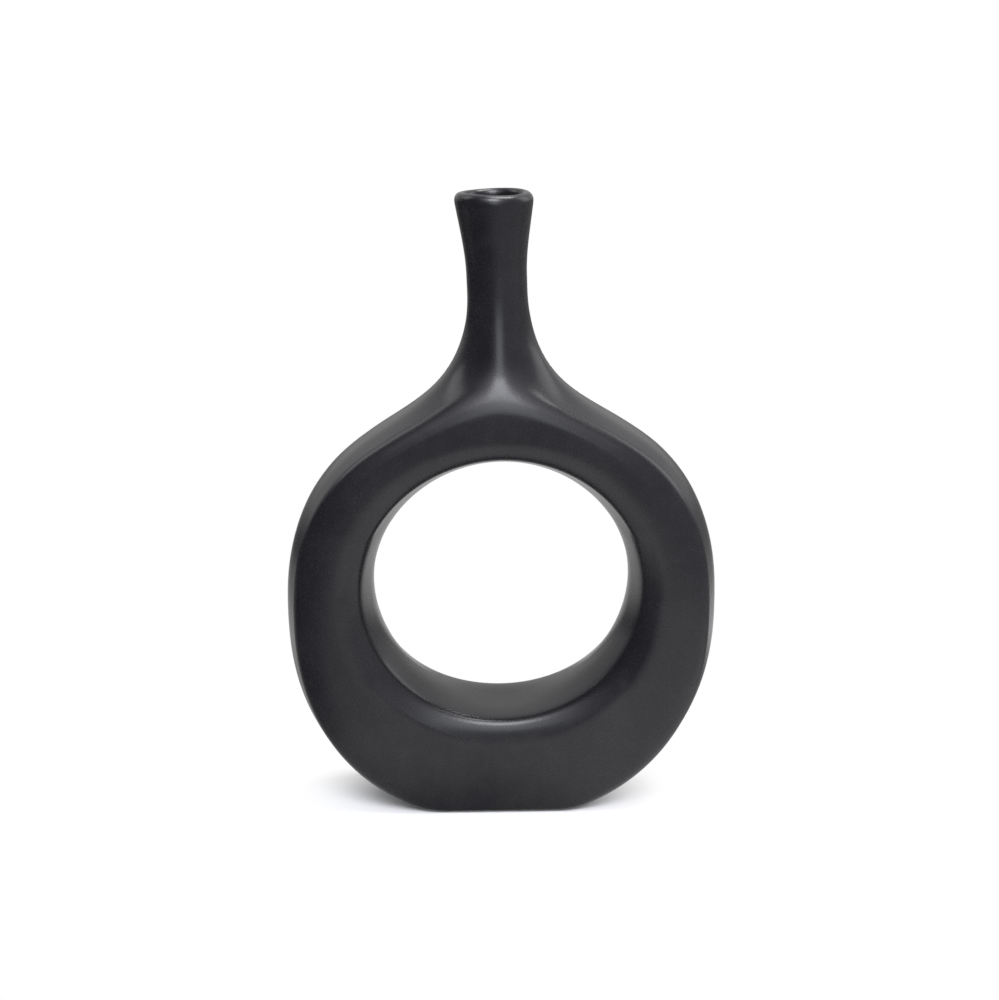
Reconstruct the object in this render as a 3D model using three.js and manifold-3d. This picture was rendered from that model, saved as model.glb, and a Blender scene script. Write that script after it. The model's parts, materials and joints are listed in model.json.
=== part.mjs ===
// Ring vase in matt black stoneware: a hollow, soft-edged ring pressed in two halves, a neck with a rolled
// lip luted onto the collar at its crown, and four felt pads under the flat foot.
// Millimetres, +Z up, front towards -Y, origin on the table under the middle of the foot.
import * as THREE from 'three';
import { mergeVertices } from 'three/addons/utils/BufferGeometryUtils.js';
import Module from 'manifold-3d';

const wasm = await Module();
wasm.setup();

// Ring outline, seen from the front; heights are above the clay foot
const RING_HALF_WIDTH = 89.7;
const OUTLINE_CENTRE = 90.5;    // height of the widest place
const CROWN_RISE = 82.3;        // widest place up to the crown
const FOOT_DROP = 97.7;         // widest place down to where the outline would close, below the foot
const CROWN_SQUARENESS = 2.16;  // superellipse exponents, 2 is an ellipse
const FOOT_SQUARENESS = 2.24;
const RING_SKEW = 0.017;        // the handmade ring's right side sits higher, per millimetre across

// Hole through the ring
const HOLE_HALF_WIDTH = 53.8;
const HOLE_CENTRE = 93.2;       // height of its widest place
const HOLE_RISE = 58.3;
const HOLE_DROP = 51.7;
const HOLE_SQUARENESS = 2;

// Section of the ring: pillow-like limbs at the sides, tighter edges at the crown and the foot
const HALF_DEPTH = 24;
const SIDE_ROUND = 16;          // outer edges
const CROWN_ROUND = 7;
const FOOT_ROUND = 7;
const HOLE_SIDE_ROUND = 17;     // edges of the hole
const HOLE_END_ROUND = 7;

// Clay walls
const RING_WALL = 5;
const FOOT_WALL = 7;
const NECK_WALL = 4.4;

// Collar on the crown, where the neck is luted on, and the fillet that sweeps up to it
const COLLAR_HEIGHT = 207;
const COLLAR_RADIUS = 12.1;
const COLLAR_FLARE = 0.01;      // growth of the radius per millimetre down
const COLLAR_ROOT = 8;          // how far above the hole the collar's root ends, inside the crown
const SIDE_FILLET = 49;
const FACE_FILLET = 28;

// Neck and lip
const WAIST_HEIGHT = 225.1;
const WAIST_RADIUS = 12.2;
const LIP_HEIGHT = 259;
const LIP_RADIUS = 15.7;
const LIP_DROP = 5;             // height of the lip's rounded outer edge
const LIP_SLOPE = 0.15;         // growth of the radius per millimetre up, where the lip begins
const MOUTH_RADIUS = 11.1;
const MOUTH_ROUND = 1.9;        // width and height of the lip's rounded inner edge
const MOUTH_DROP = 2.6;
const NECK_LEAN = -1.4;         // sideways shift of the hand-set lip

// Felt pads
const PAD_RADIUS = 5;
const PAD_THICKNESS = 1;
const PAD_EDGE = 0.25;          // small rounding of the pad's rims
const PAD_SIDE_INSET = 6;       // from the foot's front and back edges
const PAD_END_INSET = 12;       // from the foot's two ends

// Facets
const OUTSIDE = { ringSteps: 80, sectionSteps: 40, ribSteps: 12 };
const INSIDE = { ringSteps: 48, sectionSteps: 16, ribSteps: 6 };
const CORNER_CROWDING = 0.7;    // below 1, the section's points crowd towards its rounded edges
const SETTLE_STEPS = 10;
const SETTLE_PROBE = 0.01;
const NECK_STEPS = 40;
const CURVE_STEPS = 4;
const PAD_STEPS = 24;
const CUT_MARGIN = 2;           // how far a cutting body reaches past what it cuts
const CUT_SIZE = 2 * Math.ceil(RING_HALF_WIDTH + LIP_HEIGHT);

const QUARTER = Math.PI / 2;
const AXIS = new THREE.Vector3(0, 0, 1);

const signedPower = (value, exponent) => Math.sign(value) * Math.abs(value) ** exponent;

// How deep a place lies inside a superellipse about the origin, and how far up or down it lies, as a share
function insideCurve(x, z, halfWidth, halfHeight, power) {
  const across = Math.abs(x) / halfWidth;
  const along = Math.abs(z) / halfHeight;
  const reach = (across ** power + along ** power) ** (1 / power);
  const steepness = Math.hypot(across ** (power - 1) / halfWidth, along ** (power - 1) / halfHeight);
  return { depth: (1 - reach) * reach ** (power - 1) / steepness, upright: along / reach };
}

// An edge rounding that goes from its size at the sides to its size at the upper and lower end
const gradedRound = (side, end, { upright }, power) => side - (side - end) * upright ** (2 * power);

// Distance from a slab as deep as the ring, with one rounded edge; negative inside
function roundedSlab(depth, y, round) {
  const over = round - depth;
  const front = Math.abs(y) - (HALF_DEPTH - round);
  const outside = Math.hypot(Math.max(over, 0), Math.max(front, 0));
  return Math.min(Math.max(over, front), 0) + outside - round;
}

// Distance from the clay's outer skin, negative inside: the ring's outline runs into the collar over a
// fillet, wide along the shoulders and smaller towards the two faces, which stay flat up to it
function clayDistance({ x, y, z }) {
  const ringZ = z - RING_SKEW * x;
  const above = ringZ > OUTLINE_CENTRE;
  const rise = above ? CROWN_RISE : FOOT_DROP;
  const power = above ? CROWN_SQUARENESS : FOOT_SQUARENESS;
  const outline = insideCurve(x, ringZ - OUTLINE_CENTRE, RING_HALF_WIDTH, rise, power);
  const outerRound = gradedRound(SIDE_ROUND, above ? CROWN_ROUND : FOOT_ROUND, outline, power);

  const collarSide = COLLAR_RADIUS + COLLAR_FLARE * (COLLAR_HEIGHT - z) - Math.hypot(x, y);
  const collar = Math.min(collarSide, z - HOLE_CENTRE - HOLE_RISE - COLLAR_ROOT);
  const sideways = x * x / (x * x + y * y + Number.EPSILON);
  const fillet = THREE.MathUtils.lerp(FACE_FILLET, SIDE_FILLET, sideways);
  const overlap = Math.max(fillet - Math.abs(outline.depth - collar), 0);
  const depth = Math.max(outline.depth, collar) + overlap * overlap / (4 * fillet);

  const holeHeight = ringZ > HOLE_CENTRE ? HOLE_RISE : HOLE_DROP;
  const hole = insideCurve(x, ringZ - HOLE_CENTRE, HOLE_HALF_WIDTH, holeHeight, HOLE_SQUARENESS);
  const holeRound = gradedRound(HOLE_SIDE_ROUND, HOLE_END_ROUND, hole, HOLE_SQUARENESS);
  return Math.max(roundedSlab(depth, y, outerRound), roundedSlab(-hole.depth, y, holeRound));
}

// A place next to the joint plane of the two halves lies exactly on it
const onJoint = (place) => (Math.abs(place.y) < SETTLE_PROBE ? place.setY(0) : place);

// Draws a place along the steepest way onto the skin that lies inset under the outer one
function settle(place, inset) {
  const probe = new THREE.Vector3();
  const moved = (axis, by) => probe.copy(place).setComponent(axis, place.getComponent(axis) + by);
  const rate = (axis) => {
    const ahead = clayDistance(moved(axis, SETTLE_PROBE));
    const behind = clayDistance(moved(axis, -SETTLE_PROBE));
    return (ahead - behind) / (2 * SETTLE_PROBE);
  };
  for (let step = 0; step < SETTLE_STEPS; step++) {
    const way = new THREE.Vector3(rate(0), rate(1), rate(2));
    place.addScaledVector(way, -(clayDistance(place) + inset) / way.lengthSq());
  }
  return onJoint(place);
}

// A first guess at a place on the ring's skin: angle runs round the hole, turn runs round the section
// from the hole over the front face to the outer edge and back over the rear face
function ringGuess(angle, turn, inset) {
  const x = Math.cos(angle);
  const z = Math.sin(angle);
  const rise = z > 0 ? CROWN_RISE : FOOT_DROP;
  const holeHeight = z > 0 ? HOLE_RISE : HOLE_DROP;
  const outer = new THREE.Vector3(RING_HALF_WIDTH * x, 0, OUTLINE_CENTRE + rise * z);
  const hole = new THREE.Vector3(HOLE_HALF_WIDTH * x, 0, HOLE_CENTRE + holeHeight * z);
  const half = outer.clone().sub(hole).divideScalar(2);
  half.setLength(half.length() - inset);
  const across = -signedPower(Math.cos(turn), CORNER_CROWDING);
  const depth = -signedPower(Math.sin(turn), CORNER_CROWDING) * (HALF_DEPTH - inset);
  return hole.add(outer).divideScalar(2).addScaledVector(half, across).setY(depth);
}

// The closed skin of the ring and its collar. The outer half of the ring's section is left open over an
// eighth of a turn to each side of the crown, and ribs run from that opening up to the round collar.
function ringSkin(inset, topMargin, { ringSteps, sectionSteps, ribSteps }) {
  const places = [];
  const faces = [];
  const spread = Math.round(ringSteps / 8);
  const frontFace = sectionSteps / 4;
  const rearFace = sectionSteps - frontFace;
  const gridIndex = (j, k) => ((j + ringSteps) % ringSteps) * sectionSteps + k % sectionSteps;
  const inOpening = (j, k) => {
    const fromCrown = j < ringSteps / 2 ? j : j - ringSteps;
    return fromCrown >= -spread && fromCrown < spread && k >= frontFace && k < rearFace;
  };
  for (let j = 0; j < ringSteps; j++) {
    for (let k = 0; k < sectionSteps; k++) {
      const angle = QUARTER + 2 * Math.PI * j / ringSteps;
      places.push(settle(ringGuess(angle, 2 * Math.PI * k / sectionSteps, inset), inset));
      if (inOpening(j, k)) continue;
      const [a, b, c, d] = [[j, k], [j, k + 1], [j + 1, k + 1], [j + 1, k]].map(([m, n]) => gridIndex(m, n));
      faces.push([a, b, c], [a, c, d]);
    }
  }

  // Once round the opening: front edge, left end, rear edge, right end
  const across = 2 * spread;
  const deep = rearFace - frontFace;
  const rim = [
    { steps: across, at: (i) => gridIndex(i - spread, frontFace) },
    { steps: deep, at: (i) => gridIndex(spread, frontFace + i) },
    { steps: across, at: (i) => gridIndex(spread - i, rearFace) },
    { steps: deep, at: (i) => gridIndex(-spread, rearFace - i) },
  ];
  const ribs = rim.flatMap(({ steps, at }, quarter) => Array.from({ length: steps }, (_, i) => {
    const turn = -QUARTER * (quarter + i / steps + 0.5);
    const radius = COLLAR_RADIUS - inset;
    const top = onJoint(new THREE.Vector3(radius, 0, COLLAR_HEIGHT).applyAxisAngle(AXIS, turn));
    const rib = [at(i)];
    for (let step = 1; step < ribSteps; step++) {
      const guess = places[at(i)].clone().lerp(top, step / ribSteps);
      rib.push(places.push(settle(guess, inset)) - 1);
    }
    rib.push(places.push(top) - 1);
    if (topMargin > 0) rib.push(places.push(top.clone().setZ(COLLAR_HEIGHT + topMargin)) - 1);
    return rib;
  }));
  const centre = places.push(new THREE.Vector3(0, 0, COLLAR_HEIGHT + topMargin)) - 1;
  ribs.forEach((rib, i) => {
    const next = ribs[(i + 1) % ribs.length];
    for (let r = 0; r < rib.length - 1; r++) {
      faces.push([rib[r], rib[r + 1], next[r + 1]], [rib[r], next[r + 1], next[r]]);
    }
    faces.push([centre, next.at(-1), rib.at(-1)]);
  });
  const used = [...new Set(faces.flat())];
  const order = new Map(used.map((index, i) => [index, i]));
  const skin = new THREE.BufferGeometry().setFromPoints(used.map((index) => places[index]));
  return skin.setIndex(faces.flat().map((index) => order.get(index)));
}

// A closed geometry as a solid for cutting, and back
function solid(geometry) {
  const bare = geometry.clone();
  bare.deleteAttribute('normal');
  bare.deleteAttribute('uv');
  const merged = mergeVertices(bare);
  const vertProperties = Float32Array.from(merged.attributes.position.array);
  const triVerts = Uint32Array.from(merged.index.array);
  return new wasm.Manifold(new wasm.Mesh({ numProp: 3, vertProperties, triVerts }));
}

function fromSolid(body) {
  const { vertProperties, triVerts } = body.getMesh();
  const geometry = new THREE.BufferGeometry();
  geometry.setAttribute('position', new THREE.BufferAttribute(vertProperties, 3));
  return geometry.setIndex(new THREE.BufferAttribute(triVerts, 1));
}

// Everything below a height, and everything behind the joint of the two ring halves
function below(height) {
  const block = new THREE.BoxGeometry(CUT_SIZE, CUT_SIZE, CUT_SIZE);
  return solid(block.translate(0, 0, height - CUT_SIZE / 2));
}

function behindJoint() {
  const block = new THREE.BoxGeometry(CUT_SIZE, CUT_SIZE, CUT_SIZE);
  return solid(block.translate(0, CUT_SIZE / 2, 0));
}

// The ring is a hollow channel, cut flat at the foot and open at the collar
function ringShell() {
  const outside = solid(ringSkin(0, 0, OUTSIDE)).subtract(below(0));
  const channel = solid(ringSkin(RING_WALL, CUT_MARGIN, INSIDE)).subtract(below(FOOT_WALL));
  return outside.subtract(channel);
}

// The neck's wall, turned about its axis: waist, flared lip rolled over into the mouth, bore
function neckTube() {
  const waist = WAIST_HEIGHT - COLLAR_HEIGHT;
  const crest = LIP_HEIGHT - COLLAR_HEIGHT;
  const lip = crest - LIP_DROP;
  const mouth = crest - MOUTH_DROP;
  const crestRadius = MOUTH_RADIUS + MOUTH_ROUND;
  const boreWaist = WAIST_RADIUS - NECK_WALL;
  const boreFoot = COLLAR_RADIUS - RING_WALL;
  const low = waist / 3;
  const high = (lip - waist) / 3;
  const wall = new THREE.Path();
  wall.moveTo(COLLAR_RADIUS, 0);
  wall.bezierCurveTo(COLLAR_RADIUS - COLLAR_FLARE * low, low, WAIST_RADIUS, waist - low, WAIST_RADIUS, waist);
  wall.bezierCurveTo(WAIST_RADIUS, waist + high, LIP_RADIUS - LIP_SLOPE * high, lip - high, LIP_RADIUS, lip);
  wall.absellipse(crestRadius, lip, LIP_RADIUS - crestRadius, LIP_DROP, 0, QUARTER);
  wall.absellipse(crestRadius, mouth, MOUTH_ROUND, MOUTH_DROP, QUARTER, 2 * QUARTER);
  wall.bezierCurveTo(MOUTH_RADIUS, mouth - high, boreWaist, waist + high, boreWaist, waist);
  wall.bezierCurveTo(boreWaist, waist - low, boreFoot - COLLAR_FLARE * low, low, boreFoot, 0);
  const profile = wall.getPoints(CURVE_STEPS);
  profile.push(profile[0].clone());
  const leaning = new THREE.Matrix4().makeShear(0, 0, 0, 0, NECK_LEAN / crest, 0);
  return new THREE.LatheGeometry(profile, NECK_STEPS).rotateX(QUARTER).applyMatrix4(leaning);
}

// A felt disc with softened rims
function padDisc() {
  const profile = [
    new THREE.Vector2(0, 0),
    new THREE.Vector2(PAD_RADIUS - PAD_EDGE, 0),
    new THREE.Vector2(PAD_RADIUS, PAD_EDGE),
    new THREE.Vector2(PAD_RADIUS, PAD_THICKNESS - PAD_EDGE),
    new THREE.Vector2(PAD_RADIUS - PAD_EDGE, PAD_THICKNESS),
    new THREE.Vector2(0, PAD_THICKNESS),
  ];
  return new THREE.LatheGeometry(profile, PAD_STEPS).rotateX(QUARTER);
}

// Half the length of the flat foot, where the outline meets the table side of the clay
function footHalfLength() {
  const share = 1 - (OUTLINE_CENTRE / FOOT_DROP) ** FOOT_SQUARENESS;
  return RING_HALF_WIDTH * share ** (1 / FOOT_SQUARENESS);
}

const glaze = () => new THREE.MeshStandardMaterial({ color: 0x2f2e31, roughness: 0.55, metalness: 0 });
const felt = () => new THREE.MeshStandardMaterial({ color: 0x1f1f20, roughness: 1, metalness: 0 });

function part(name, geometry, material, x = 0, y = 0, z = 0) {
  const mesh = new THREE.Mesh(geometry, material);
  mesh.name = name;
  mesh.position.set(x, y, z);
  return mesh;
}

// The vase stands on its pads
const vase = new THREE.Group();
const clay = new THREE.Group();
clay.position.z = PAD_THICKNESS;
vase.add(clay);

const shell = ringShell();
clay.add(part('ring_front', fromSolid(shell.subtract(behindJoint())), glaze()));
clay.add(part('ring_back', fromSolid(shell.intersect(behindJoint())), glaze()));
clay.add(part('neck', neckTube(), glaze(), 0, 0, COLLAR_HEIGHT));

const padX = footHalfLength() - PAD_END_INSET - PAD_RADIUS;
const padY = HALF_DEPTH - PAD_SIDE_INSET - PAD_RADIUS;
for (const [end, y] of [['front', -padY], ['back', padY]]) {
  for (const [side, x] of [['left', -padX], ['right', padX]]) {
    vase.add(part(`pad_${end}_${side}`, padDisc(), felt(), x, y));
  }
}

export default vase;
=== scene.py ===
# Ring vase in matt black stoneware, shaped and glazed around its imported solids.
# Metres, +Z up, front towards -Y, origin on the table under the middle of the foot.
import json
import math

import bmesh
import bpy
import numpy as np
from mathutils import Matrix, Vector

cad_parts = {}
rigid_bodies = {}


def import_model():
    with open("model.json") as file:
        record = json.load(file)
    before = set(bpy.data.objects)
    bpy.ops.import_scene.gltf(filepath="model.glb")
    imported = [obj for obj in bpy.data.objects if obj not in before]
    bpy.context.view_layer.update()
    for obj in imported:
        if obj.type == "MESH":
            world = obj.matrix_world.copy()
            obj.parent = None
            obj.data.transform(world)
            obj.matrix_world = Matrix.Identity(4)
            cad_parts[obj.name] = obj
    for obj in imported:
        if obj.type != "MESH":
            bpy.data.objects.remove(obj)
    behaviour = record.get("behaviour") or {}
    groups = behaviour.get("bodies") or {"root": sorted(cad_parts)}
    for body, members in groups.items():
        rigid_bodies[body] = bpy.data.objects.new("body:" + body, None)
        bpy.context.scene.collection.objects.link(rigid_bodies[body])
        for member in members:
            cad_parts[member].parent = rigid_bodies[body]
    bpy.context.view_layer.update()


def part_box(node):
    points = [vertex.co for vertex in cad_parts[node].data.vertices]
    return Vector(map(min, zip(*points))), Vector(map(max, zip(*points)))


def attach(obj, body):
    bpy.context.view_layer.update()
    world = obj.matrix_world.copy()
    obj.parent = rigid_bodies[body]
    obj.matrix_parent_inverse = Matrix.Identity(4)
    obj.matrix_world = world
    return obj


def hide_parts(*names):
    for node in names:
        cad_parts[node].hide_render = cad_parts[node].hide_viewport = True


bpy.ops.object.select_all(action="SELECT")
bpy.ops.object.delete()
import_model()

# Vessel: a hollow, soft-edged ring of black stoneware with a slim neck. The ring is pressed in two halves,
# the neck is turned, and the three are luted together while damp and scraped flush. One dipped coat of
# satin glaze covers the joints and stops at the wiped foot.
MM = 0.001
CLAY_FOOT = 1.0  # the felt pads lift the clay this far off the table; every height below is above it

RING_HALF_WIDTH = 89.65
OUTLINE_CENTRE = 86.0
CROWN_RISE = 85.4
FOOT_DROP = 92.2
CROWN_SQUARENESS = 2.38
FOOT_SQUARENESS = 2.27
RING_SKEW = 0.018  # the handmade ring's right side sits higher, per millimetre across
HOLE_HALF_WIDTH = 53.2
HOLE_CENTRE = 96.7
HOLE_RISE = 51.2
HOLE_DROP = 55.4
HOLE_SQUARENESS = 1.96
HALF_DEPTH = 24.0
EDGE_ROUND = 5.2
SIDE_START = 8.0  # the walls are straight in the middle of their depth and taper from here to the edges
HOLE_START = 5.0
TAPER_BLEND = 3.0
SIDE_TAPER = 0.34
HOLE_TAPER = 0.39
HOLE_TOP_TAPER = 0.34
SIDE_EDGE_REACH = 10.0  # a side's edge runs this far over the face
END_EDGE_REACH = 4.0
HOLE_END_REACH = 7.5
RING_WALL = 5.0
FOOT_WALL = 7.0

COLLAR_HEIGHT = 207.0
COLLAR_RADIUS = 12.1
COLLAR_FLARE = 0.01
COLLAR_ROOT = 159.5
SIDE_FILLET = 49.0
FACE_FILLET = 20.0
FRONT_SWELL = 0.0039  # the neck's front and rear swell below the waist, per square millimetre down
SWELL_DROP = 50.0  # and no more from this far below it
WAIST_HEIGHT = 225.1
WAIST_RADIUS = 12.2
LIP_START = 254.0
LIP_RADIUS = 15.7
LIP_SLOPE = 0.15
LIP_CREST = 258.3
CREST_RADIUS = 13.0
MOUTH_RADIUS = 11.1
MOUTH_DROP = 2.6
BORE_RADIUS = 7.1
NECK_LEAN = -1.4
LIP_WAVE = 1.0  # how far the hand-set lip rises at its left front and dips at its left rear
LIP_WAVE_START = 236.0


def ease(value, start, end):
    share = np.clip((value - start) / (end - start), 0, 1)
    return share * share * (3 - 2 * share)


def hermite(height, low, high):
    """A smooth run of radius between two (height, radius, slope) stations."""
    span = high[0] - low[0]
    t = (height - low[0]) / span
    start = (1 + 2 * t) * (1 - t) ** 2 * low[1] + t * (1 - t) ** 2 * span * low[2]
    end = t * t * (3 - 2 * t) * high[1] + t * t * (t - 1) * span * high[2]
    return start + end


def neck_radius(height):
    collar = (COLLAR_HEIGHT, COLLAR_RADIUS, -COLLAR_FLARE)
    waist = (WAIST_HEIGHT, WAIST_RADIUS, 0.0)
    lip = (LIP_START, LIP_RADIUS, LIP_SLOPE)
    root = COLLAR_RADIUS + COLLAR_FLARE * (COLLAR_HEIGHT - height)
    above = np.where(height < WAIST_HEIGHT, hermite(height, collar, waist), hermite(height, waist, lip))
    return np.where(height < COLLAR_HEIGHT, root, above)


def neck_lean(height):
    return NECK_LEAN * np.maximum(height - COLLAR_HEIGHT, 0) / (LIP_CREST - COLLAR_HEIGHT)


def soft_slab(depth, y, start, taper, reach):
    """Distance from a slab with tapered sides and rounded edges, for a depth inside its outline."""
    beyond = np.abs(y) - start
    depth = depth - taper * (np.hypot(beyond, TAPER_BLEND) + beyond) / 2
    over = EDGE_ROUND * (1 - depth / reach)
    front = np.abs(y) - (HALF_DEPTH - EDGE_ROUND)
    rounding = np.hypot(np.maximum(over, 0), np.maximum(front, 0))
    return np.minimum(np.maximum(over, front), 0) + rounding - EDGE_ROUND


def inside_curve(x, z, half_width, half_height, power):
    """Depth inside a superellipse about the origin, and how far up or down the place lies, as a share."""
    across = np.abs(x) / half_width
    along = np.abs(z) / half_height
    reach = (across**power + along**power) ** (1 / power)
    steepness = np.hypot(across ** (power - 1) / half_width, along ** (power - 1) / half_height)
    return (1 - reach) * reach ** (power - 1) / steepness, along / reach


def graded(side, end, upright, power):
    """A value that runs from the ring's sides to its crown and foot."""
    return side - (side - end) * upright ** (2 * power)


def clay_distance(places, inset):
    """Distance from the vessel's outer skin, or from the plainer skin that lies inset under it. Outline and
    neck run together over a fillet, and the hole is taken out."""
    x, y, z = places.T
    ring_z = z - RING_SKEW * x
    above = ring_z > OUTLINE_CENTRE
    rise = np.where(above, CROWN_RISE, FOOT_DROP)
    power = np.where(above, CROWN_SQUARENESS, FOOT_SQUARENESS)
    outline, upright = inside_curve(x, ring_z - OUTLINE_CENTRE, RING_HALF_WIDTH, rise, power)
    taper = graded(SIDE_TAPER, 0, upright, power)
    reach = EDGE_ROUND if inset else graded(SIDE_EDGE_REACH, END_EDGE_REACH, upright, power)

    sideways = x * x / (x * x + y * y + 1e-9)
    swell = FRONT_SWELL * np.clip(WAIST_HEIGHT - z, 0, SWELL_DROP) ** 2 * (1 - sideways)
    inside_neck = neck_radius(z) + swell - np.hypot(x - neck_lean(z), y)
    neck = np.minimum(inside_neck, z - COLLAR_ROOT)
    fillet = FACE_FILLET + (SIDE_FILLET - FACE_FILLET) * sideways
    overlap = np.maximum(fillet - np.abs(outline - neck), 0)
    depth = np.maximum(outline, neck) + overlap * overlap / (4 * fillet)

    hole_height = np.where(ring_z > HOLE_CENTRE, HOLE_RISE, HOLE_DROP)
    hole, upright = inside_curve(x, ring_z - HOLE_CENTRE, HOLE_HALF_WIDTH, hole_height, HOLE_SQUARENESS)
    end_taper = np.where(ring_z > HOLE_CENTRE, HOLE_TOP_TAPER, 0)
    hole_taper = graded(HOLE_TAPER, end_taper, upright, HOLE_SQUARENESS)
    hole_reach = EDGE_ROUND if inset else graded(SIDE_EDGE_REACH, HOLE_END_REACH, upright, HOLE_SQUARENESS)
    y = y * HALF_DEPTH / (HALF_DEPTH - inset)
    outside = soft_slab(depth - inset, y, SIDE_START, taper, reach)
    return np.maximum(outside, soft_slab(-hole - inset, y, HOLE_START, hole_taper, hole_reach))


def settle(places, inset):
    """Draws points along the steepest way onto the skin that lies inset under the outer one."""
    probe = 0.01
    probes = probe * np.eye(3)
    for _ in range(12):
        way = [clay_distance(places + p, inset) - clay_distance(places - p, inset) for p in probes]
        way = np.stack(way, 1) / (2 * probe)
        places = places - (clay_distance(places, inset) / (way * way).sum(1))[:, None] * way
    return places


def get_places(piece):
    flat = np.empty(3 * len(piece.data.vertices), np.float32)
    piece.data.vertices.foreach_get("co", flat)
    return flat.reshape(-1, 3).astype(float) / MM - (0, 0, CLAY_FOOT)


def put_places(piece, places):
    flat = ((places + (0, 0, CLAY_FOOT)) * MM).astype(np.float32).ravel()
    piece.data.vertices.foreach_set("co", flat)
    piece.data.update()


def pick(kind, test):
    """Selects the vertices, edges or faces of the mesh in edit mode that pass a test."""
    bpy.ops.mesh.select_mode(type=kind)
    bpy.ops.mesh.select_all(action="DESELECT")
    mesh = bpy.context.object.data
    shape = bmesh.from_edit_mesh(mesh)
    for item in {"VERT": shape.verts, "EDGE": shape.edges, "FACE": shape.faces}[kind]:
        item.select_set(test(item))
    bmesh.update_edit_mesh(mesh)


def only(*pieces):
    bpy.ops.object.select_all(action="DESELECT")
    for piece in pieces:
        piece.select_set(True)
    bpy.context.view_layer.objects.active = pieces[0]


def level(height):
    return (height + CLAY_FOOT) * MM


def crown_outside(centre, radius):
    return centre.z > abs(centre.x) and math.hypot(centre.x, centre.z) > radius


def ring_skin(name, inset, collar_top):
    """Ring, opened at the crown and drawn up to a round collar. A torus gives the ring; its crown's outer
    half is taken out over an eighth of a turn each way, and the opening is bridged to the collar."""
    around, across = 192, 88
    crowding = 0.13  # draws the section's points towards the corners of the box that it starts as
    radius = (RING_HALF_WIDTH + HOLE_HALF_WIDTH) / 2
    bpy.ops.object.select_all(action="DESELECT")
    bpy.ops.mesh.primitive_torus_add(
        major_segments=around,
        minor_segments=across,
        major_radius=radius * MM,
        minor_radius=(radius - HOLE_HALF_WIDTH) * MM,
        rotation=(math.pi / 2, 0, 0),
    )
    skin = bpy.context.object
    skin.name = name
    bpy.ops.object.transform_apply(rotation=True)

    bpy.ops.object.mode_set(mode="EDIT")
    pick("FACE", lambda face: crown_outside(face.calc_center_median(), radius * MM))
    bpy.ops.mesh.delete(type="FACE")
    bpy.ops.object.mode_set(mode="OBJECT")

    x, y, z = (get_places(skin) + (0, 0, CLAY_FOOT)).T
    angle = np.arctan2(z, x)
    turn = np.arctan2(y, np.hypot(x, z) - radius) + math.pi / across
    rise = np.where(z > 0, CROWN_RISE, FOOT_DROP)
    outer = np.stack([RING_HALF_WIDTH * np.cos(angle), OUTLINE_CENTRE + rise * np.sin(angle)])
    hole_rise = np.where(z > 0, HOLE_RISE, HOLE_DROP)
    hole = np.stack([HOLE_HALF_WIDTH * np.cos(angle), HOLE_CENTRE + hole_rise * np.sin(angle)])
    turn = turn + crowding * np.sin(4 * turn)
    out = np.clip(math.sqrt(2) * np.cos(turn), -1, 1)
    deep = np.clip(math.sqrt(2) * np.sin(turn), -1, 1) * (HALF_DEPTH - inset)
    width = np.hypot(*(outer - hole)) / 2
    flat = (outer + hole) / 2 + (outer - hole) / 2 * out * (1 - inset / width)
    put_places(skin, np.stack([flat[0], deep, flat[1]], 1))

    bpy.ops.object.mode_set(mode="EDIT")
    rim = 2 * (around // 4) + across
    bpy.ops.mesh.primitive_circle_add(
        vertices=rim,
        radius=(COLLAR_RADIUS - inset) * MM,
        location=(0, 0, level(collar_top)),
        rotation=(0, 0, math.pi / rim),
    )
    pick("EDGE", lambda edge: edge.is_boundary or edge.is_wire)
    bpy.ops.mesh.bridge_edge_loops(number_cuts=26)
    bpy.ops.mesh.select_all(action="SELECT")
    bpy.ops.mesh.normals_make_consistent(inside=inset > 0)
    bpy.ops.object.mode_set(mode="OBJECT")
    return skin


def grow(radius, height):
    """Extrudes the selected rim of the neck to the next station of its profile."""
    mesh = bpy.context.object.data
    shape = bmesh.from_edit_mesh(mesh)
    rim = [v.co for v in shape.verts if v.select]
    old = sum(rim, Vector()) / len(rim)
    old_radius = sum((p.xy - old.xy).length for p in rim) / len(rim)
    new = Vector((float(neck_lean(height)) * MM, 0, level(height)))
    bpy.ops.mesh.extrude_edges_move(TRANSFORM_OT_translate={"value": new - old})
    scale = radius * MM / old_radius
    bpy.ops.transform.resize(value=(scale, scale, 1), center_override=new)


# Outer skin, with the neck drawn up from the collar to where the lip begins
vessel = ring_skin("vessel", 0, COLLAR_HEIGHT)
bpy.ops.object.mode_set(mode="EDIT")
pick("EDGE", lambda edge: edge.is_boundary)
for height in np.linspace(COLLAR_HEIGHT, LIP_START, 37)[1:]:
    grow(float(neck_radius(height)), float(height))
bpy.ops.object.mode_set(mode="OBJECT")
put_places(vessel, settle(get_places(vessel), 0))

# The shoulders, where collar and ring were joined, are scraped even
SHOULDER_LOW = 112.0
SHOULDER_HIGH = 212.0
for _ in range(3):
    bpy.ops.object.mode_set(mode="EDIT")
    pick("VERT", lambda vert: level(SHOULDER_LOW) < vert.co.z < level(SHOULDER_HIGH))
    bpy.ops.mesh.vertices_smooth(factor=0.5, repeat=5)
    bpy.ops.object.mode_set(mode="OBJECT")
    put_places(vessel, settle(get_places(vessel), 0))

# The hole's edges are sponged soft, except under the crown
SPONGE_REACH = 65.0
SPONGE_TOP = 120.0
SPONGE_DEPTH = 8.0  # the middle of the wall, this far to the front and rear, is left alone


def by_the_hole(vert):
    near = math.hypot(vert.co.x, vert.co.z - level(HOLE_CENTRE)) < SPONGE_REACH * MM
    return near and vert.co.z < level(SPONGE_TOP) and abs(vert.co.y) > SPONGE_DEPTH * MM


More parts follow.
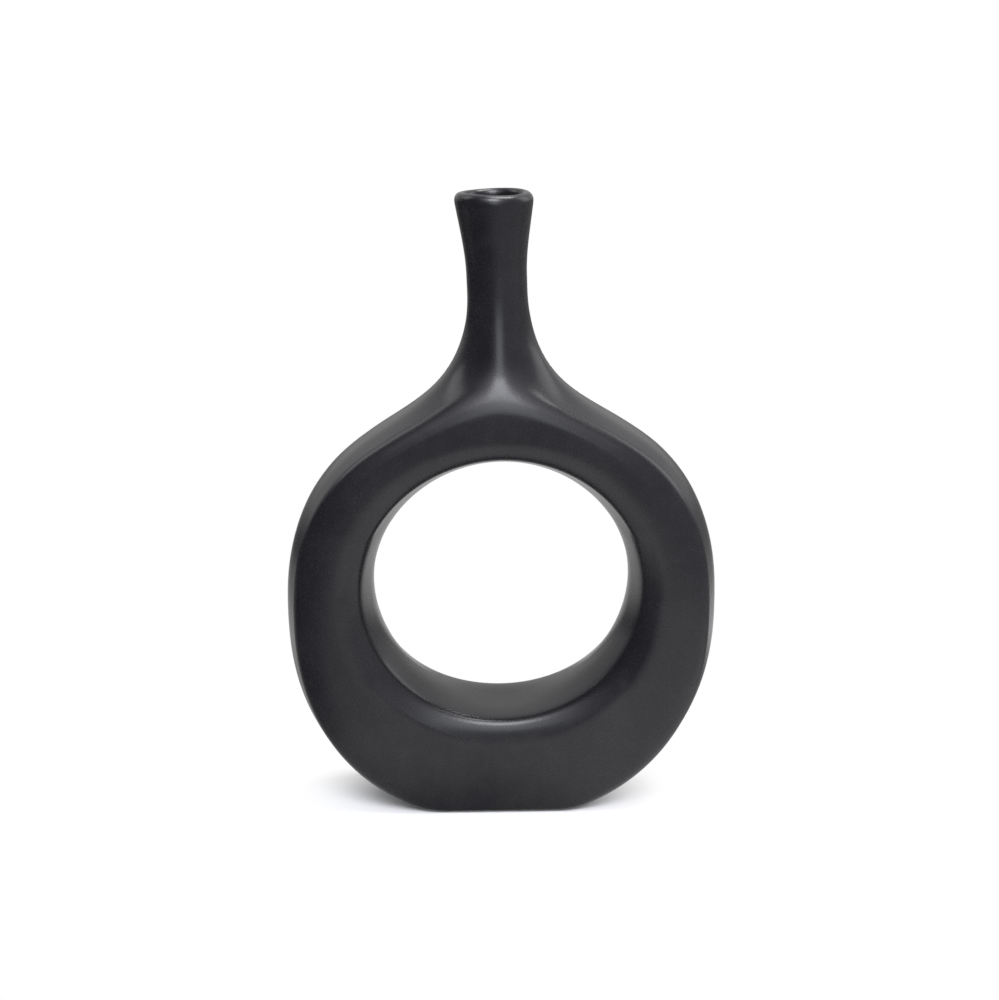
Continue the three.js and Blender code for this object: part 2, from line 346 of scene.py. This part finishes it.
bpy.ops.object.mode_set(mode="EDIT")
pick("VERT", by_the_hole)
bpy.ops.mesh.vertices_smooth(factor=0.5, repeat=60)
bpy.ops.object.mode_set(mode="OBJECT")

# Rolled lip and bore, which stops a little above the collar for the hollow to be joined on
BORE_END = COLLAR_HEIGHT + 4
bpy.ops.object.mode_set(mode="EDIT")
pick("EDGE", lambda edge: edge.is_boundary)
for turn in np.linspace(0, math.pi / 2, 10)[1:]:
    rise = (LIP_CREST - LIP_START) * math.sin(turn)
    roll = (LIP_RADIUS - CREST_RADIUS) * math.cos(turn)
    grow(CREST_RADIUS + roll + LIP_SLOPE * rise * math.cos(turn), LIP_START + rise)
mouth = LIP_CREST - MOUTH_DROP
for turn in np.linspace(0, math.pi / 2, 8)[1:]:
    roll = (CREST_RADIUS - MOUTH_RADIUS) * math.sin(turn)
    grow(CREST_RADIUS - roll, mouth + MOUTH_DROP * math.cos(turn))
for height in np.linspace(mouth, BORE_END, 25)[1:]:
    grow(float(hermite(height, (COLLAR_HEIGHT, BORE_RADIUS, 0), (mouth, MOUTH_RADIUS, 0))), float(height))
bpy.ops.object.mode_set(mode="OBJECT")

# The lip was set by hand, so it isn't quite level
places = get_places(vessel)
turn = np.arctan2(places[:, 1], places[:, 0] - neck_lean(places[:, 2]))
wave = LIP_WAVE * np.sin(turn) * (1 - np.cos(turn)) / 2
places[:, 2] -= wave * ease(places[:, 2], LIP_WAVE_START, LIP_START)
put_places(vessel, places)

# Flat foot with a softened edge
FOOT_EDGE = 2.6
FOOT_SLOPE = 0.47  # of the outline where it comes down to the foot
FOOT_TUCK = 1.2  # the foot's front and rear edges draw in by this
foot_end = RING_HALF_WIDTH * (1 - (OUTLINE_CENTRE / FOOT_DROP) ** FOOT_SQUARENESS) ** (1 / FOOT_SQUARENESS)
bpy.ops.object.mode_set(mode="EDIT")
bpy.ops.mesh.select_all(action="SELECT")
bpy.ops.mesh.bisect(plane_co=(0, 0, level(FOOT_EDGE)), plane_no=(0, 0, 1), clear_inner=True)
pick("EDGE", lambda edge: edge.is_boundary and edge.verts[0].co.z < level(2 * FOOT_EDGE))
done = (FOOT_EDGE, foot_end + FOOT_EDGE / FOOT_SLOPE, HALF_DEPTH)
for step in np.linspace(0, 1, 9)[1:]:
    height = FOOT_EDGE * (1 - step) ** 2
    half_length = foot_end + FOOT_EDGE / FOOT_SLOPE * (1 - 2 * step)
    half_depth = HALF_DEPTH - FOOT_TUCK * step**4
    bpy.ops.mesh.extrude_edges_move(TRANSFORM_OT_translate={"value": (0, 0, (height - done[0]) * MM)})
    scale = (half_length / done[1], half_depth / done[2], 1)
    bpy.ops.transform.resize(value=scale, center_override=(0, 0, level(height)))
    done = (height, half_length, half_depth)
bpy.ops.mesh.edge_face_add()
bpy.ops.object.mode_set(mode="OBJECT")

# Hollow ring inside, with a thicker floor, opened into the bore
hollow = ring_skin("hollow", RING_WALL, COLLAR_HEIGHT)
put_places(hollow, settle(get_places(hollow), RING_WALL))
only(hollow)
bpy.ops.object.mode_set(mode="EDIT")
bpy.ops.mesh.select_all(action="SELECT")
bpy.ops.mesh.bisect(
    plane_co=(0, 0, level(FOOT_WALL)), plane_no=(0, 0, 1), use_fill=True, clear_inner=True
)
bpy.ops.object.mode_set(mode="OBJECT")
only(vessel, hollow)
bpy.ops.object.join()
bpy.ops.object.mode_set(mode="EDIT")
pick("EDGE", lambda edge: edge.is_boundary)
bpy.ops.mesh.bridge_edge_loops(number_cuts=3)
bpy.ops.mesh.select_all(action="SELECT")
bpy.ops.mesh.normals_make_consistent(inside=False)
bpy.ops.object.mode_set(mode="OBJECT")

# The vessel is parted along its three luted joints
def part_at(piece, normal, height, keep_ahead):
    """Cuts a piece across and closes it, and keeps the side that the normal points to, or the other."""
    only(piece)
    bpy.ops.object.mode_set(mode="EDIT")
    bpy.ops.mesh.select_all(action="SELECT")
    bpy.ops.mesh.bisect(
        plane_co=(0, 0, height),
        plane_no=normal,
        use_fill=True,
        clear_inner=keep_ahead,
        clear_outer=not keep_ahead,
    )
    bpy.ops.mesh.select_all(action="SELECT")
    bpy.ops.mesh.normals_make_consistent(inside=False)
    bpy.ops.object.mode_set(mode="OBJECT")


def twin(piece, name):
    only(piece)
    bpy.ops.object.duplicate()
    bpy.context.object.name = name
    return bpy.context.object


neck = twin(vessel, "neck_turned")
part_at(neck, (0, 0, 1), level(COLLAR_HEIGHT), True)
part_at(vessel, (0, 0, 1), level(COLLAR_HEIGHT), False)
ring_back = twin(vessel, "ring_back_half")
part_at(ring_back, (0, 1, 0), 0, True)
ring_front = vessel
ring_front.name = "ring_front_half"
part_at(ring_front, (0, 1, 0), 0, False)

# Satin black glaze: nearly neutral, faintly cool, pooled a little unevenly, with a fine dry grain
GLAZE_DARK = (0.0075, 0.0075, 0.0095, 1)
GLAZE_LIGHT = (0.012, 0.0115, 0.0135, 1)
BARE_CLAY = (0.055, 0.047, 0.042, 1)


class Shade:
    """A shader socket to calculate with; its node method adds any other node to the same tree."""

    def __init__(self, tree, socket=None):
        self.tree = tree
        self.socket = socket

    def node(self, kind, output, settings=None, inputs=None):
        node = self.tree.nodes.new("ShaderNode" + kind)
        for name, value in (settings or {}).items():
            setattr(node, name, value)
        for name, value in (inputs or {}).items():
            if isinstance(value, Shade):
                self.tree.links.new(value.socket, node.inputs[name])
            else:
                node.inputs[name].default_value = value
        return Shade(self.tree, node.outputs[output])

    def math(self, operation, first, second):
        return self.node("Math", 0, {"operation": operation}, {0: first, 1: second})

    def __add__(self, other):
        return self.math("ADD", self, other)

    def __radd__(self, other):
        return self.math("ADD", other, self)

    def __sub__(self, other):
        return self.math("SUBTRACT", self, other)

    def __rsub__(self, other):
        return self.math("SUBTRACT", other, self)

    def __mul__(self, other):
        return self.math("MULTIPLY", self, other)

    def __rmul__(self, other):
        return self.math("MULTIPLY", other, self)

    def sibling(self, output):
        """Another output of the same node."""
        return Shade(self.tree, self.socket.node.outputs[output])

    def along(self, direction):
        """How far this place or way lies along a direction."""
        return self.node("VectorMath", "Value", {"operation": "DOT_PRODUCT"}, {0: self, 1: direction})

    def ramp(self, low, high):
        """0 below low, 1 above high, eased in between."""
        settings = {"interpolation_type": "SMOOTHSTEP"}
        return self.node("MapRange", 0, settings, {"Value": self, "From Min": low, "From Max": high})

    def noise(self, place, scale, detail, roughness=0.5):
        inputs = {"Vector": place, "Scale": scale, "Detail": detail, "Roughness": roughness}
        return self.node("TexNoise", "Fac", None, inputs)

    def blend(self, first, second):
        """Colour between two others, with this value as the share of the second."""
        settings = {"data_type": "RGBA"}
        return self.node("Mix", 2, settings, {0: self, 6: first, 7: second})


def new_material(name):
    material = bpy.data.materials.new(name)
    material.use_nodes = True
    tree = material.node_tree
    surface = tree.nodes["Principled BSDF"]
    return material, surface, Shade(tree)


def feed(shade, node, name):
    shade.tree.links.new(shade.socket, node.inputs[name])


glaze, surface, shade = new_material("satin_black_glaze")
place = shade.node("TexCoord", "Object")
height = shade.node("SeparateXYZ", "Z", None, {0: place})
pooling = shade.noise(place, 38, 3)
clouds = shade.noise(place, 160, 4)
grain = shade.noise(place, 1500, 3, 0.65)
glazed = height.ramp(level(-0.02), level(0.25))
tone = (0.6 * pooling + 0.25 * clouds + 0.15 * grain).ramp(0.32, 0.68)
colour = glazed.blend(BARE_CLAY, tone.blend(GLAZE_DARK, GLAZE_LIGHT))
feed(colour, surface, "Base Color")
feed(0.9 - glazed * (0.68 - 0.05 * clouds - 0.05 * grain), surface, "Roughness")
relief = 0.5 * pooling + 0.03 * clouds + 0.012 * grain
bump = shade.node("Bump", 0, None, {"Height": relief, "Strength": 0.35, "Distance": 0.0006})
feed(bump, surface, "Normal")
surface.inputs["Specular IOR Level"].default_value = 0.46

for piece, node in ((ring_front, "ring_front"), (ring_back, "ring_back"), (neck, "neck")):
    only(piece)
    bpy.ops.object.shade_smooth_by_angle(angle=math.radians(40))
    piece.data.materials.clear()
    piece.data.materials.append(glaze)
    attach(piece, "root")
    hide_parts(node)

# Felt pads: four discs punched from dark pressed felt, stuck under the foot to save the table. The punch
# leaves a slightly rounded rim, and the felt is never quite flat.
FELT_EDGE = 0.00025
FELT_DARK = (0.008, 0.008, 0.009, 1)
FELT_LIGHT = (0.024, 0.024, 0.026, 1)
felt, surface, shade = new_material("pressed_felt")
place = shade.node("TexCoord", "Object")
fibres = shade.noise(place, 2600, 5, 0.7)
matting = shade.noise(place, 420, 3)
fleece = (0.6 * fibres + 0.4 * matting).ramp(0.35, 0.7)
feed(fleece.blend(FELT_DARK, FELT_LIGHT), surface, "Base Color")
feed(0.88 + 0.12 * fibres, surface, "Roughness")
bump = shade.node("Bump", 0, None, {"Height": fibres + 0.5 * matting, "Strength": 0.8, "Distance": 0.0002})
feed(bump, surface, "Normal")
surface.inputs["Sheen Weight"].default_value = 0.3
surface.inputs["Specular IOR Level"].default_value = 0.1

for node in ("pad_front_left", "pad_front_right", "pad_back_left", "pad_back_right"):
    low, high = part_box(node)
    middle = (low + high) / 2
    bpy.ops.object.select_all(action="DESELECT")
    bpy.ops.mesh.primitive_cylinder_add(
        vertices=72, radius=(high.x - low.x) / 2, depth=high.z - low.z, location=middle
    )
    pad = bpy.context.object
    pad.name = node + "_felt"
    bpy.ops.object.transform_apply(location=True)
    bpy.ops.object.mode_set(mode="EDIT")
    pick("EDGE", lambda edge: abs(edge.verts[0].co.z - edge.verts[1].co.z) < 1e-6)
    bpy.ops.mesh.bevel(offset=FELT_EDGE, segments=4)
    for inset in (0.0006, 0.0012, 0.0014, 0.001):
        pick("FACE", lambda face: len(face.verts) > 8)
        bpy.ops.mesh.inset(thickness=inset, use_individual=True)
    bpy.ops.object.mode_set(mode="OBJECT")
    bpy.ops.object.shade_smooth_by_angle(angle=math.radians(40))
    pad.data.materials.append(felt)
    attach(pad, "root")
    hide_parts(node)

# Floor: a sheet of white paper on a table. Near the vase it takes the shadow, and further out the camera sees
# plain white. To the glaze's mirror rays the paper glows with a painted reflection: painted pale paper close
# in front of the vase and behind it, painted shade just behind it, and elsewhere a painted dim room, which is
# darkest at the left.
FLOOR_SIZE = 16.0
SHADOW_MIDDLE = (-0.012, -0.022, 0)
REAR_RIGHT = (0.6, 0.8, 0)
WHITE = (1, 1, 1, 1)
# Painted reflection: these greys are what the paper shows the glaze's mirror rays, in place of the dim room
# and of the light and shade on the paper itself. The world further down also lights the vase with the room's
# two greys.
ROOM_LEFT = (0.03, 0.03, 0.035, 1)
ROOM_RIGHT = (0.45, 0.45, 0.47, 1)
PAINTED_FAR_PAPER = (0.28, 0.28, 0.28, 1)
SHADED_LEFT = (0.55, 0.55, 0.55, 1)
SHADED_RIGHT = (0.27, 0.27, 0.27, 1)
PAINTED_SIDE_PAPER = (0.42, 0.42, 0.42, 1)
PAINTED_LEFT_PAPER = (0.8, 0.8, 0.8, 1)
PAINTED_FRONT_PAPER = (0.95, 0.95, 0.97, 1)
bpy.ops.object.select_all(action="DESELECT")
bpy.ops.mesh.primitive_plane_add(size=FLOOR_SIZE)
floor = bpy.context.object
floor.name = "paper_floor"
paper, surface, shade = new_material("white_paper")
surface.inputs["Base Color"].default_value = (0.92, 0.92, 0.92, 1)
surface.inputs["Roughness"].default_value = 0.9
surface.inputs["Specular IOR Level"].default_value = 0.0
paths = shade.node("LightPath", "Is Camera Ray")
glossy = paths.sibling("Is Glossy Ray")
through = paths.sibling("Is Transmission Ray")
place = shade.node("TexCoord", "Object")
distance = shade.node("VectorMath", "Value", {"operation": "DISTANCE"}, {0: place, 1: SHADOW_MIDDLE})
across = place.along((1, 0, 0))
behind = place.along((0, 1, 0))
# From here on the colours are the painted reflection that only mirror rays see: a painted dim room, painted
# pale paper and painted shade.
room = across.ramp(-0.35, 0.3).blend(ROOM_LEFT, ROOM_RIGHT)
front = distance.ramp(0.0, 0.08) * (1 - distance.ramp(0.2, 0.4)) * across.ramp(-0.14, -0.02)
beside = across.math("ABSOLUTE", across, 0).ramp(0.18, 0.26)
far = place.along(REAR_RIGHT).ramp(0, 0.4).blend(room, PAINTED_FAR_PAPER)
# Painted shade: close behind the vase the paper shows mirror rays darker, as if in the vase's shade, and
# darkest at the right.
shaded = across.ramp(-0.1, 0.1).blend(SHADED_LEFT, SHADED_RIGHT)
sheet = behind.ramp(0.1, 0.16).blend(shaded, across.ramp(-0.06, 0.03).blend(PAINTED_LEFT_PAPER, WHITE))
rear = distance.ramp(0.42, 0.7).blend(beside.blend(sheet, PAINTED_SIDE_PAPER), far)
painted_reflection = behind.ramp(-0.03, 0.05).blend(front.blend(room, PAINTED_FRONT_PAPER), rear)
# The paper glows: plain white to the camera, and the painted reflection to mirror rays.
plain = shade.node("Emission", 0, None, {"Color": glossy.blend(WHITE, painted_reflection), "Strength": 1.0})
seen = distance.ramp(0.04, 0.095) * paths.math("MAXIMUM", paths, through)
share = paths.math("MAXIMUM", seen, glossy)
lit = Shade(shade.tree, surface.outputs[0])
mixed = shade.node("MixShader", 0, None, {0: share, 1: lit, 2: plain})
feed(mixed, shade.tree.nodes["Material Output"], "Surface")
floor.data.materials.append(paper)

# Light: a pale studio. A white wall stands behind the vase, and the room in front of it is dim and darkest at
# the left, under a bright panel at the front of the ceiling. Two softboxes stand in front, one at each side,
# and one hangs above. Past the floor the camera sees plain white.
WALL = (0.68, 0.68, 0.68, 1)
HIGH_WALL = (1.0, 1.0, 1.0, 1)
CEILING_PANEL = (1.6, 1.6, 1.7, 1)
world = bpy.data.worlds.new("pale_studio")
bpy.context.scene.world = world
world.use_nodes = True
shade = Shade(world.node_tree)
background = world.node_tree.nodes["Background"]
way = shade.node("TexCoord", "Generated")
room = way.along((1, 0, 0.25)).ramp(-0.65, 0.15).blend(ROOM_LEFT, ROOM_RIGHT)
wall = way.along((0, 0, 1)).ramp(0.4, 0.7).blend(WALL, HIGH_WALL)
surround = way.along((0, 1, 0.2)).ramp(0.1, 0.8).blend(room, wall)
studio = way.along((0.02, -0.66, 0.74)).ramp(0.72, 1.0).blend(surround, CEILING_PANEL)
feed(shade.node("LightPath", "Is Camera Ray").blend(studio, WHITE), background, "Color")


def softbox(name, place, aim, size, watts, colour):
    bpy.ops.object.light_add(type="AREA", location=place)
    lamp = bpy.context.object
    lamp.name = name
    lamp.rotation_euler = (Vector(aim) - Vector(place)).to_track_quat("-Z", "Y").to_euler()
    lamp.data.shape = "RECTANGLE"
    lamp.data.size, lamp.data.size_y = size
    lamp.data.energy = watts
    lamp.data.color = colour


softbox("softbox_front", (0.02, -0.9, 1.25), (0, 0, 0.2), (0.6, 0.72), 13.5, (0.93, 0.94, 1))
softbox("softbox_low", (0.05, -1.1, 0.5), (0, 0, 0.2), (0.5, 0.6), 1.9, (0.9, 0.95, 1))
softbox("softbox_right", (1.4, 0.5, 0.95), (0, 0, 0.15), (0.9, 1.1), 5.0, (1, 1, 1))
softbox("softbox_left", (-1.3, 0.3, 1.25), (0, 0, 0.15), (0.7, 0.9), 3.8, (1, 1, 1))
softbox("softbox_above", (0.35, 0.15, 1.55), (0, 0, 0.1), (0.8, 0.8), 19, (1, 1, 1))

# Camera: straight in front of the vase and a little above it
CAMERA_PLACE = Vector((-0.00498, -0.8, 0.37945))
PITCH, YAW, ROLL = 0.30084, 0.00587, -0.01031
FOCAL_PIXELS = 2016.5
IMAGE_HEIGHT = 1000
ahead = Vector((math.sin(YAW) * math.cos(PITCH), math.cos(YAW) * math.cos(PITCH), -math.sin(PITCH)))
right = Vector((math.cos(YAW), -math.sin(YAW), 0))
up = right.cross(ahead)
tilted_right = math.cos(ROLL) * right + math.sin(ROLL) * up
tilted_up = math.cos(ROLL) * up - math.sin(ROLL) * right
bpy.ops.object.camera_add(location=CAMERA_PLACE)
camera = bpy.context.object
camera.name = "camera_front"
camera.rotation_euler = Matrix((tilted_right, tilted_up, -ahead)).transposed().to_euler()
camera.data.sensor_fit = "VERTICAL"
camera.data.sensor_height = 36
camera.data.lens = FOCAL_PIXELS * camera.data.sensor_height / IMAGE_HEIGHT
bpy.context.scene.camera = camera
bpy.context.scene.view_settings.view_transform = "Standard"
